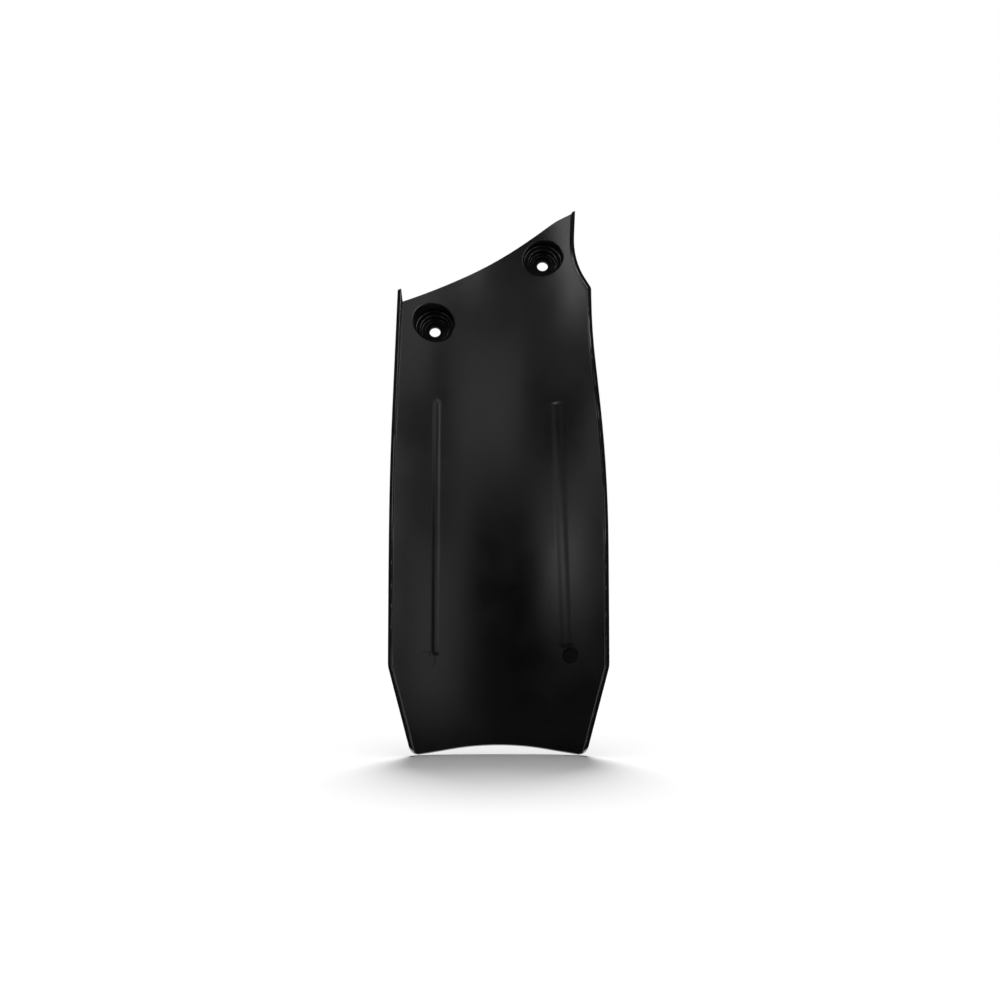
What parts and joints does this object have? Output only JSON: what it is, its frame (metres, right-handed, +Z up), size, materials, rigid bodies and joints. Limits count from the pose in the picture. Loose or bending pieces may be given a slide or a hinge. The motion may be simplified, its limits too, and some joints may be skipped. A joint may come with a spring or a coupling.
{
  "type": "shock mud flap",
  "caption": "Curved black plastic flap with raised side lips, a notched upper corner and stepped screw cups, hung ahead of a motorcycle's rear shock to keep mud off it.",
  "frame": {"origin": "midway between the two screw holes, on the plane of the seats behind the screw cups", "axes": "+Z up, +X to the right seen from the face the screws enter, and that face looks towards -Y; the flap leans back 20 degrees at the screws"},
  "size_m": [0.1206, 0.0828, 0.3085],
  "materials": {
    "plastic": "black injection moulding with a satin surface"
  },
  "bodies": {
    "root": {"mud_flap": "plastic"}
  },
  "joints": []
}
